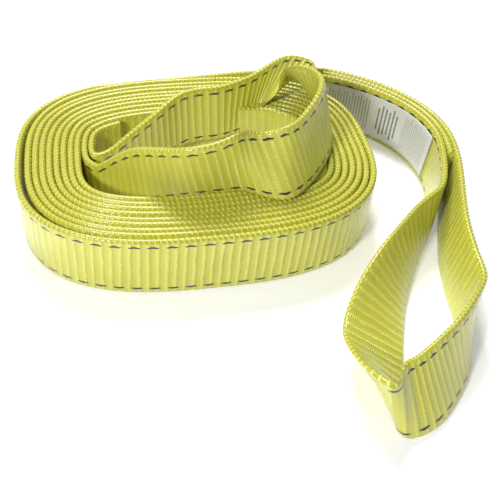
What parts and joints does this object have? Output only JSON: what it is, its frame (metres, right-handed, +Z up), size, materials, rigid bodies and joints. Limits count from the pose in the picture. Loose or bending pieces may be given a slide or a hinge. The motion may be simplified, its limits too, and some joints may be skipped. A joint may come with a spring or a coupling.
{
  "type": "cargo strap",
  "caption": "Flat webbing strap wound into an oval coil on its edge, with a sewn eye at each end: one lies on the coil, the other stands beside it.",
  "frame": {"origin": "centre of the bounding box in plan, on the surface that the coil lies on", "axes": "+Z up, out of the coil; +X along the oval coil's long axis, towards the end where the sewn length curves round; +Y towards the side where the last turn leaves the coil"},
  "size_m": [0.3386, 0.3388, 0.1015],
  "materials": {
    "webbing": "satin woven polyester",
    "label": "matt woven label"
  },
  "bodies": {
    "root": {"webbing_strap": "webbing", "sewn_label": "label"}
  },
  "joints": []
}
